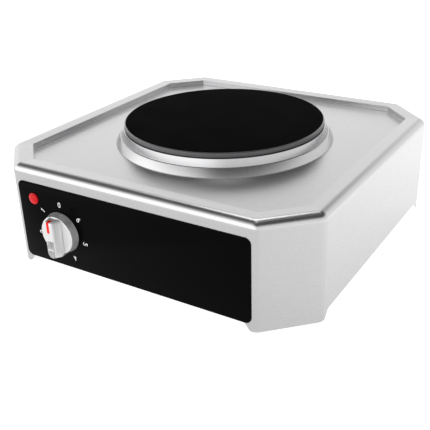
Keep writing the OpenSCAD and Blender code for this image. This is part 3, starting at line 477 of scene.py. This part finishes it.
# Rings of the tray: radius to reach, and the parts of the way there
TRAY_RINGS = ((RING_FOOT_R + 1, (0.1, 0.25, 0.5, 0.75, 0.9, 1.0)), (TRAY_HOLE_R, (0.5, 1.0)))


def stations():
    """Places round the outline: (wall, part of its length) and (edge, part of its turn)."""
    out = []
    for k in range(8):
        if k % 2 == 0:
            marks = [STRAIGHT_HALF - d for d in WALL_ENDS] + list(WALL_MIDDLES)
            marks = [-m for m in marks] + [0.0] + marks[::-1]
            out += [("wall", k, (m + STRAIGHT_HALF) / (2 * STRAIGHT_HALF), m) for m in marks]
        else:
            out += [("wall", k, f, None) for f in CHAMFER_PARTS]
        out += [("edge", k, i / EDGE_STEPS, None) for i in range(1, EDGE_STEPS)]
    return out


def ring_points(inset, radius):
    points = []
    for kind, k, f, _ in stations():
        if kind == "wall":
            a = math.radians(45 * k)
            normal = Vector((math.cos(a), math.sin(a)))
            start = corner_data(inset, radius, k - 1) + normal * radius
            end = corner_data(inset, radius, k) + normal * radius
            points.append(start.lerp(end, f))
        else:
            a = math.radians(45 * (k + f))
            points.append(corner_data(inset, radius, k) + Vector((math.cos(a), math.sin(a))) * radius)
    return points


def wall_foot(station):
    """Height of the wall's lower edge: low at the corner legs, raised between them by a soft curve."""
    mark = station[3]
    if mark is None:
        return LEG_GAP
    leg_end = STRAIGHT_HALF - LEG_END
    t = max(0.0, min(1.0, (leg_end - abs(mark)) / (leg_end - RAISED_HALF)))
    return LEG_GAP + (WALL_GAP - LEG_GAP) * t * t * (3 - 2 * t)


def housing_rows():
    """Closed rows of points from the walls' lower edge over the rim and step to the opening in the tray."""
    marks = stations()
    bend_z = RIM_H - BEND_R
    outer = ring_points(0, CORNER_R)
    rows = []
    for f in HEIGHT_PARTS:
        rows.append([(p.x, p.y, wall_foot(s) + (bend_z - wall_foot(s)) * f) for p, s in zip(outer, marks)])

    def level(inset, z):
        rows.append([(p.x, p.y, z) for p in ring_points(inset, max(INNER_R, CORNER_R - inset))])

    for i in range(1, BEND_STEPS + 1):
        t = math.pi / 2 * i / BEND_STEPS
        level(BEND_R - BEND_R * math.cos(t), bend_z + BEND_R * math.sin(t))
    for inset in (BEND_R + 0.5, (BEND_R + STEP_IN) / 2, STEP_IN - EDGE_FILLET - 0.4):
        level(inset, RIM_H - RIM_SLOPE * (inset - BEND_R))
    rim_low = RIM_H - RIM_SLOPE * (STEP_IN - BEND_R)
    tray_low = TRAY_Z - TRAY_FALL
    turns = [math.pi / 2 * i / FILLET_STEPS for i in range(FILLET_STEPS + 1)]
    for t in turns:
        level(STEP_IN - EDGE_FILLET * (1 - math.sin(t)), rim_low - EDGE_FILLET * (1 - math.cos(t)))
    for t in turns:
        level(STEP_IN + FOOT_FILLET * (1 - math.cos(t)), tray_low + FOOT_FILLET * (1 - math.sin(t)))
    level(STEP_IN + 2 * FOOT_FILLET, tray_low)
    for radius, parts in TRAY_RINGS:
        inner = rows[-1]
        for u in parts:
            row = []
            for x, y, z in inner:
                a = math.atan2(y, x)
                rise = (TRAY_Z - z) * u ** TRAY_CURVE
                row.append((x + (radius * math.cos(a) - x) * u, y + (radius * math.sin(a) - y) * u, z + rise))
            rows.append(row)
    return rows


def build_housing():
    rows = housing_rows()
    vertices = [p for row in rows for p in row]
    made = mesh_object("housing_shell", vertices, strips(len(rows), len(rows[0])))
    shell = made.modifiers.new("sheet", "SOLIDIFY")
    shell.thickness = SHEET * MM
    shell.offset = -1
    shell.use_even_offset = True
    bake_modifiers(made)
    drill_front(made, FRONT_Y + SHEET / 2, SMOOTH)
    combine(made, drill(GLAND[0], HALF - SHEET / 2, GLAND[1], GLAND_R + HOLE_GAP), "DIFFERENCE")
    even_normals(made)
    finish_piece(made, "base", ["housing"], "stainless", steel_side, steel_top)
    paint_faces(made, lambda face: 1 if abs(face.normal.z) > 0.7 else 0)


# ---------------------------------------------------------------- hot plate and spill ring
def build_plate():
    top = PLATE_Z
    neck_r = PLATE_R - NECK_IN
    profile = [(0, top), (40, top), (80, top), (BODY_R, top)]
    profile += rounded([
        (BODY_R, top, 0), (PLATE_R - PLATE_BEVEL - 0.1, top, 0.5), (PLATE_R, top - PLATE_BEVEL, 0.3),
        (PLATE_R, LIP_Z + 0.7, 0.2), (neck_r, LIP_Z + 0.5, 0), (neck_r, SEAT_Z, 0.5),
        (BODY_R, SEAT_Z, 0.3), (BODY_R, BODY_Z, 0.6), (CHANNEL_OUT, BODY_Z, 0)], closed=False)[1:]
    for n in (2, 1, 0):
        outer = BOSS_R + CHANNEL_W + n * (CHANNEL_W + RIB)
        if n < 2:
            profile.append((outer, BODY_Z))
        profile += [(outer, CHANNEL_Z), (outer - CHANNEL_W, CHANNEL_Z), (outer - CHANNEL_W, BODY_Z)]
    profile += [(STUD_R, BODY_Z), (STUD_R, BODY_Z + STUD_DEPTH), (0, BODY_Z + STUD_DEPTH)]
    made = lathe("hot_plate", profile, 192)
    finish_piece(made, "base", ["hotplate_disc"], "iron", LOOKS["iron"], plate_black, plate_side)

    def choose(face):
        if face.center.z > (PLATE_Z - 0.3) * MM:
            return 1
        return 2 if face.center.z > (LIP_Z + 0.6) * MM else 0
    paint_faces(made, choose)


def build_ring():
    """The ring's half section: (radius, height, rounding) from its seat, round its foot and over its lip."""
    lip_r, seat_r, under_r = PLATE_R + 0.1, BODY_R + 0.3, RING_FOOT_R - 1.8 * RING_T
    profile = rounded([
        (seat_r, SEAT_Z - RING_T, 0), (PLATE_R + 1.0, SEAT_Z - RING_T, 0.6), (CREASE_R - 0.9,
                                                                              CREASE_Z - 0.5, 0.5),
        (CREASE_R + 0.8, CREASE_Z - 1.3, 0.8), (under_r, TRAY_Z + RING_T, 0.5), (under_r, TRAY_Z, 0),
        (RING_FOOT_R, TRAY_Z, 0.1), (RING_FOOT_R, TRAY_Z + 0.5, 0.15), (CREASE_R + 2.2, CREASE_Z - 0.15,
                                                                        0.35),
        (CREASE_R + 1.2, CREASE_Z + 0.1, 0.2), (CREASE_R + 0.25, CREASE_Z - 0.4, 0.1),
        (CREASE_R + 0.05, CREASE_Z + 0.2, 0.1), (PLATE_R + 1.7, LIP_Z, 0.3), (lip_r, LIP_Z, 0.2),
        (lip_r, SEAT_Z, 0), (seat_r, SEAT_Z, 0)], steps=5)
    made = lathe("drip_ring", profile, 192, smooth_angle=30)
    finish_piece(made, "base", ["spill_ring"], "stainless", steel_ring)


# ---------------------------------------------------------------- control panel
PANEL_SMOOTH = 20.0


def build_panel():
    """The panel's plate: (inset, distance from the front) of its back, side and rounded edge."""
    w, z0, z1 = PANEL_HALF, WALL_GAP, PANEL_TOP
    outline = rounded([(-w, z0, PANEL_R), (w, z0, PANEL_R), (w, z1, PANEL_R), (-w, z1, PANEL_R)], steps=10)
    middle = Vector((0, (z0 + z1) / 2))
    layers = [(0.0, 0.0), (0.0, PANEL_T - 0.25), (0.07, PANEL_T - 0.08), (0.25, PANEL_T)]
    vertices = []
    for inset, out in layers:
        for x, z in outline:
            d = Vector((x, z)) - middle
            vertices.append((x - math.copysign(inset, d.x), FRONT_Y - out, z - math.copysign(inset, d.y)))
    made = mesh_object("front_panel", vertices, stacked(len(layers), len(outline)), PANEL_SMOOTH)
    drill_front(made, PANEL_Y, PANEL_SMOOTH)
    finish_piece(made, "base", ["control_panel"], "panel_black")


# Strokes of each number as shares of its height, from its lower left corner
DIGITS = {
    0: [("loop", [(0.30, 1.0), (0.08, 0.85), (0.02, 0.5), (0.08, 0.15), (0.30, 0.0), (0.52, 0.15),
                 (0.58, 0.5), (0.52, 0.85)])],
    1: [("line", [(0.12, 0.76), (0.38, 1.0), (0.38, 0.0)])],
    2: [("curve", [(0.05, 0.74), (0.14, 0.93), (0.32, 1.0), (0.50, 0.92), (0.55, 0.72), (0.44, 0.50),
                  (0.05, 0.0)]),
        ("line", [(0.03, 0.0), (0.60, 0.0)])],
    3: [("curve", [(0.06, 0.84), (0.30, 1.0), (0.52, 0.86), (0.50, 0.62), (0.26, 0.52)]),
        ("curve", [(0.26, 0.52), (0.54, 0.42), (0.56, 0.16), (0.30, 0.0), (0.05, 0.14)])],
    4: [("line", [(0.45, 0.0), (0.45, 1.0), (0.03, 0.30), (0.62, 0.30)])],
    5: [("line", [(0.54, 1.0), (0.14, 1.0), (0.09, 0.54)]),
        ("curve", [(0.09, 0.54), (0.32, 0.64), (0.55, 0.48), (0.55, 0.18), (0.32, 0.0), (0.05, 0.10)])],
    6: [("curve", [(0.52, 0.90), (0.34, 1.0), (0.12, 0.84), (0.03, 0.46), (0.08, 0.14), (0.30, 0.0)]),
        ("curve", [(0.30, 0.0), (0.54, 0.12), (0.57, 0.38), (0.34, 0.60), (0.06, 0.42)])],
}
DIGIT_HEIGHT = 4.9
STROKE = 0.8
DIGIT_RING_R = 30.0
DIGIT_MIDDLE = Vector((0.3, 0.5))
PRINT_T = 0.05
MITRE_LIMIT = 0.5


def smooth_line(points, loop, steps=6):
    """A flowing line through the points."""
    n = len(points)
    out = []
    for i in range(n if loop else n - 1):
        near = [points[(i + k) % n] if loop else points[max(0, min(n - 1, i + k))] for k in (-1, 0, 1, 2)]
        p0, p1, p2, p3 = (Vector(p) for p in near)
        for k in range(steps):
            t = k / steps
            out.append(0.5 * (2 * p1 + (p2 - p0) * t + (2 * p0 - 5 * p1 + 4 * p2 - p3) * t * t
                              + (3 * p1 - p0 - 3 * p2 + p3) * t ** 3))
    if not loop:
        out.append(Vector(points[-1]))
    return out


def ribbon(points, width, loop):
    """Left and right edges of a printed stroke, mitred at its corners."""
    n = len(points)
    left, right = [], []
    for i, p in enumerate(points):
        before = points[(i - 1) % n] if loop or i else None
        after = points[(i + 1) % n] if loop or i < n - 1 else None
        u = (p - before).normalized() if before is not None else (after - p).normalized()
        v = (after - p).normalized() if after is not None else u
        across = Vector((-u.y - v.y, u.x + v.x)).normalized()
        reach = width / 2 / max(MITRE_LIMIT, across.dot(Vector((-u.y, u.x))))
        left.append(p + across * reach)
        right.append(p - across * reach)
    return left, right


def build_numerals():
    """The dial's numbers, 0 at the top and the rest to the left round the knob."""
    vertices, faces = [], []
    for number, strokes in DIGITS.items():
        angle = 2 * math.pi * number / len(DIGITS)
        for kind, points in strokes:
            loop = kind == "loop"
            line = [Vector(p) for p in points] if kind == "line" else smooth_line(points, loop)
            line = [(p - DIGIT_MIDDLE) * DIGIT_HEIGHT for p in line]
            n = len(line)
            first = len(vertices)
            left, right = ribbon(line, STROKE, loop)
            for out in (0.0, PRINT_T):
                for side in (left, right):
                    for p in side:
                        x = p.x * math.cos(angle) - (p.y + DIGIT_RING_R) * math.sin(angle)
                        z = p.x * math.sin(angle) + (p.y + DIGIT_RING_R) * math.cos(angle)
                        vertices.append((DIAL[0] + x, PANEL_Y - out, DIAL[1] + z))
            a, b, c, d = (first + n * k for k in range(4))
            for i in range(n if loop else n - 1):
                j = (i + 1) % n
                faces += [(a + i, a + j, b + j, b + i), (c + i, d + i, d + j, c + j),
                          (a + i, c + i, c + j, a + j), (b + i, b + j, d + j, d + i)]
            if not loop:
                e = n - 1
                faces += [(a, b, d, c), (a + e, c + e, d + e, b + e)]
    made = mesh_object("dial_numbers", vertices, faces, PANEL_SMOOTH)
    made.data.materials.append(print_white)
    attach(made, "base")


# ---------------------------------------------------------------- knob
KNOB_SMOOTH = 28.0
SCOOPS = ((-2.3, -12.0, 1.9), (-13.2, -20.8, 1.3))      # upper end, lower end and depth of each finger scoop
SCOOP_STEEP = 0.12
SCOOP_FADE = 0.8
SIDE_STEPS = 42
ROUND_STEPS = 12
CORNER_STEPS = 5


def scoop(z, upper, lower, depth):
    """Depth of a finger scoop that falls steeply at its upper end and runs out at its lower end."""
    if not lower < z < upper:
        return 0.0
    t = (upper - z) / (upper - lower)
    return depth * min(1.0,
                       t / SCOOP_STEEP) * (1 - max(0.0, (t - SCOOP_STEEP) / (1 - SCOOP_STEEP))) ** SCOOP_FADE


def grip_outline(width, inset):
    """Points round the grip at one height: a flat upper end with rounded corners and a round lower end."""
    b = max(0.05, width / 2 - inset)
    centre = -GRIP_DOWN + GRIP_BASE / 2
    top = GRIP_UP - POINTER_PROUD - inset
    corner = min(GRIP_CORNER, b * 0.6)
    points = []
    for i in range(ROUND_STEPS + 1):
        a = math.pi + math.pi * i / ROUND_STEPS
        points.append((b * math.cos(a), centre + b * math.sin(a)))
    side = [(centre + (top - corner - centre) * i / SIDE_STEPS) for i in range(1, SIDE_STEPS)]
    points += [(b, z) for z in side]
    for s in (1, -1):
        for i in range(CORNER_STEPS + 1):
            a = math.pi / 2 * (i / CORNER_STEPS + (s < 0))
            points.append((s * (b - corner) + corner * math.cos(a), top - corner + corner * math.sin(a)))
    points += [(-b, z) for z in side[::-1]]
    return points


def build_grip():
    """The grip, from rings of points: straight at the disc, tapered forward, rounded and dished there."""
    front = KNOB_H - POINTER_PROUD
    shoulder = front - GRIP_EDGE
    layers = [(GRIP_LIFT, GRIP_BASE, 0.35), (GRIP_LIFT + 0.4, GRIP_BASE, 0.0), (KNOB_DISC, GRIP_BASE, 0.0)]
    for i in range(1, 6):
        h = KNOB_DISC + (shoulder - KNOB_DISC) * i / 5
        t = (h - KNOB_DISC) / (KNOB_H - KNOB_DISC)
        layers.append((h, GRIP_BASE + (GRIP_TOP - GRIP_BASE) * t, 0.0))
    for i in range(1, 6):
        a = math.pi / 2 * i / 5
        layers.append((shoulder + GRIP_EDGE * math.sin(a), GRIP_TOP, GRIP_EDGE * (1 - math.cos(a))))
    layers += [(front, GRIP_TOP, inset) for inset in (1.9, 2.6, 3.4, 4.2, 4.95)]
    place = to_front(DIAL[0], KNOB_Y, DIAL[1])
    vertices = []
    for h, width, inset in layers:
        outline = grip_outline(width, inset)
        for x, z in outline:
            across = max(0.0, min(1.0, (GRIP_TOP / 2 - 0.5 - abs(x)) / 0.7)) if h > front - 0.9 else 0.0
            vertices.append(place(Vector((x, z, h - across * sum(scoop(z, *one) for one in SCOOPS)))))
    return mesh_object("grip", vertices, stacked(len(layers), len(outline)), 30)


def build_knob():
    profile = rounded([(0, 0, 0), (KNOB_R, 0, 0.35), (KNOB_FACE_R + 0.25, KNOB_DISC, 1.0), (15, KNOB_DISC, 0),
                       (0, KNOB_DISC, 0)], closed=False, steps=5)
    place = to_front(DIAL[0], KNOB_Y, DIAL[1])
    made = lathe("knob", profile, 128, place, KNOB_SMOOTH)
    combine(made, build_grip(), "UNION", KNOB_SMOOTH)
    hollow = lathe("hollow", rounded([(HUB_R, -1, 0), (HOLLOW_R, -1, 0), (HOLLOW_R, HOLLOW, 0.4),
                                      (HUB_R, HOLLOW, 0.4)]), 96, place)
    combine(made, hollow, "DIFFERENCE", KNOB_SMOOTH)
    for s in (-1, 1):
        combine(made, seam(s * (GRIP_BASE / 2 + 0.5), place), "DIFFERENCE", KNOB_SMOOTH)
    bore = lathe("bore", [(0, -1), (BORE_R, -1), (BORE_R, BORE_DEPTH), (0, BORE_DEPTH)], 48, place)
    combine(made, bore, "DIFFERENCE", KNOB_SMOOTH)
    even_normals(made)
    finish_piece(made, "knob", ["knob_body"], "knob_grey", LOOKS["knob_grey"], knob_skirt_painted_shade, knob_scoop_painted_shade)
    axis = Vector((DIAL[0], 0, DIAL[1])) * MM

    def choose(face):
        out = (KNOB_Y * MM - face.center.y) / MM
        from_axis = math.hypot(face.center.x - axis.x, face.center.z - axis.z) / MM
        if KNOB_H - 2.6 < out < KNOB_H - 0.3 and abs(face.center.x - axis.x) < 4.7 * MM and from_axis < 21.5:
            # faces of the finger scoops take the darker grey, painted shade
            return 2 if face.center.z < axis.z - 2 * MM and abs(face.normal.x) < 0.75 else 0
        # the disc's sloping side takes the darker skirt grey, painted shade
        return 1 if out < KNOB_DISC - 0.7 and from_axis > KNOB_FACE_R and abs(face.normal.y) < 0.6 else 0
    paint_faces(made, choose)


def seam(x, place):
    """A thin upright cutter that marks the seam where the grip meets the disc."""
    corners = ((-1, -1), (1, -1), (1, 1), (-1, 1))
    points = [(x + a * SEAM_W / 2, z * SEAM_HALF, h) for h in (KNOB_DISC - 0.9, KNOB_DISC + 0.6) for a,
              z in corners]
    return mesh_object("seam", [place(Vector(p)) for p in points], stacked(2, 4))


def build_pointer():
    """The red pointer: a bar along the grip's front that turns over its upper end."""
    low, top, behind, front, t = GRIP_UP * POINTER_FROM, GRIP_UP, KNOB_H - POINTER_DOWN, KNOB_H, POINTER_T
    line = rounded([(low, front, 0.3), (top, front, 1.3), (top, behind, 0.3), (top - t, behind, 0),
                    (top - t, front - t, 0.6), (low, front - t, 0)], steps=5)
    place = to_front(DIAL[0], KNOB_Y, DIAL[1])
    soft = 0.12
    layers = ((-POINTER_HALF, soft), (soft - POINTER_HALF, 0), (POINTER_HALF - soft, 0), (POINTER_HALF, soft))
    vertices = []
    for x, shrink in layers:
        for z, h in line:
            vertices.append(place(Vector((x, z, h - (shrink if h > front - 0.3 else 0)))))
    made = mesh_object("pointer", vertices, stacked(len(layers), len(line)), 35)
    finish_piece(made, "knob", ["knob_pointer"], "pointer_red")


def build_lens():
    dome_r, dome_z = LENS_R - 0.8, LENS_FLANGE + 0.05
    back = LENS_FLANGE / 2
    turns = [math.pi / 2 * i / 9 for i in range(10)]
    dome = [(dome_r * math.cos(a), dome_z + (LENS_H - dome_z) * math.sin(a)) for a in turns]
    profile = [(0, back), (BARREL_R - 1, back), (BARREL_R - 1, 0), (LENS_R, 0)]
    profile += rounded([(LENS_R, 0, 0), (LENS_R, LENS_FLANGE, 0.35), (dome_r, dome_z, 0.1)], closed=False)[1:]
    profile += [(max(0.0, r), h) for r, h in dome[1:]]
    made = lathe("lamp_lens", profile, 64, to_front(PILOT[0], PANEL_Y, PILOT[1]))
    finish_piece(made, "base", ["pilot_lens"], "lens_red")


# ---------------------------------------------------------------- cable gland cap
def build_gland_cap():
    outer = GLAND_R + CAP_WALL
    length = GLAND_END - GLAND_START

    def ribs(r, h, a):
        """Grip ribs on the outer wall only, between its two ends."""
        if r < outer - 0.05 or h < 1.0 or h > length - 3.5:
            return r
        return r - RIB_DEPTH * (0.5 - 0.5 * math.cos(RIB_COUNT * a)) ** 2

    profile = rounded([
        (CAP_INSIDE_R, 0, 0), (outer, 0, 0.4), (outer, length - 3, 1.2), (GLAND_R - 1, length, 0.7),
        (CAP_BORE, length, 0.4), (CAP_BORE, length - CAP_END, 0), (CAP_INSIDE_R, length - CAP_END, 0)],
        steps=4)
    made = lathe("cable_cap", profile, 144, to_back(GLAND[0], GLAND_START, GLAND[1]), 40, ribs)
    finish_piece(made, "base", ["gland_cap"], "black_plastic")


# ---------------------------------------------------------------- carried-over CAD nodes
def dress_nodes():
    for name, shown in NODES.items():
        if shown.hide_render:
            continue
        slot = SLOT_OF[name]
        shown.data.materials.clear()
        shown.data.materials.append(LOOKS[slot])


# ---------------------------------------------------------------- floor and world
FLOOR_HALF = 6                          # metres
FLOOR_PAINT = 0.44
# A change of strength: where it starts and ends, and the strength at each
FLOOR_GLOW = (-0.06, 0.55, 0.81, 1.25)  # by X + Y in metres
CEILING = (0.38, 0.70, 1.30, 0.06)      # by the height of a direction
SIDEWAYS = (-0.75, 0.3, 1.08, 1.0)      # by the X of a direction
OVERHEAD = (0.955, 0.99, 0.0, 0.9)      # by the height of a direction
SOFTBOX = (0.45, 0.8, 0.0, 1.0)         # by nearness to its own direction
SOFTBOX_WAY = (-0.50, -0.86, 0.0)
KICKER = (0.955, 0.985, 0.0, 3.0)       # by nearness to its own direction
KICKER_WAY = (-0.289, 0.463, 0.839)


def ramp(nodes, links, source, change, steps="SMOOTHSTEP"):
    """A strength that changes with the source."""
    ranged = node_of(nodes, "ShaderNodeMapRange", interpolation_type=steps)
    for key, value in zip(("From Min", "From Max", "To Min", "To Max"), change):
        ranged.inputs[key].default_value = value
    links.new(source, ranged.inputs["Value"])
    return ranged.outputs["Result"]


def maths(nodes, links, operation, a, b):
    made = node_of(nodes, "ShaderNodeMath", operation=operation)
    links.new(a, made.inputs[0])
    links.new(b, made.inputs[1])
    return made.outputs[0]


def add_floor():
    """A white floor that glows a little, more so to the right and behind, where the steel mirrors it."""
    h = FLOOR_HALF
    mesh = bpy.data.meshes.new("floor")
    mesh.from_pydata([(-h, -h, 0), (h, -h, 0), (h, h, 0), (-h, h, 0)], [], [(0, 1, 2, 3)])
    floor = bpy.data.objects.new("floor", mesh)
    bpy.context.scene.collection.objects.link(floor)
    material, nodes, links = new_material("floor_white")
    nodes.remove(nodes["Principled BSDF"])
    glow = node_of(nodes, "ShaderNodeEmission")
    paint = node_of(nodes, "ShaderNodeBsdfDiffuse", Color=(FLOOR_PAINT, FLOOR_PAINT, FLOOR_PAINT, 1))
    total = node_of(nodes, "ShaderNodeAddShader")
    place = node_of(nodes, "ShaderNodeTexCoord")
    apart = node_of(nodes, "ShaderNodeSeparateXYZ")
    links.new(place.outputs["Object"], apart.inputs["Vector"])
    across = maths(nodes, links, "ADD", apart.outputs["X"], apart.outputs["Y"])
    links.new(ramp(nodes, links, across, FLOOR_GLOW, "LINEAR"), glow.inputs["Strength"])
    links.new(glow.outputs["Emission"], total.inputs[0])
    links.new(paint.outputs["BSDF"], total.inputs[1])
    links.new(total.outputs["Shader"], nodes["Material Output"].inputs["Surface"])
    floor.data.materials.append(material)


def add_world():
    """A studio tent: bright walls, a darker ceiling, a softbox at the front left, small lights above."""
    world = bpy.data.worlds.new("studio")
    world.use_nodes = True
    bpy.context.scene.world = world
    nodes, links = world.node_tree.nodes, world.node_tree.links
    back = nodes["Background"]
    back.inputs["Color"].default_value = (1, 1, 1, 1)
    place = node_of(nodes, "ShaderNodeTexCoord")
    apart = node_of(nodes, "ShaderNodeSeparateXYZ")
    links.new(place.outputs["Generated"], apart.inputs["Vector"])

    def light(way, change):
        """A light in one direction."""
        toward = node_of(nodes, "ShaderNodeVectorMath", operation="DOT_PRODUCT")
        toward.inputs[1].default_value = way
        links.new(place.outputs["Generated"], toward.inputs[0])
        return ramp(nodes, links, toward.outputs["Value"], change)

    ceiling = ramp(nodes, links, apart.outputs["Z"], CEILING)
    sideways = ramp(nodes, links, apart.outputs["X"], SIDEWAYS)
    tent = maths(nodes, links, "MULTIPLY", ceiling, sideways)
    overhead = ramp(nodes, links, apart.outputs["Z"], OVERHEAD)
    for extra in (overhead, light(KICKER_WAY, KICKER), light(SOFTBOX_WAY, SOFTBOX)):
        tent = maths(nodes, links, "ADD", tent, extra)
    links.new(tent, back.inputs["Strength"])


build_housing()
build_plate()
build_ring()
build_panel()
build_numerals()
build_knob()
build_pointer()
build_lens()
build_gland_cap()
dress_nodes()
add_floor()
add_world()
bpy.context.scene.view_settings.view_transform = "Standard"
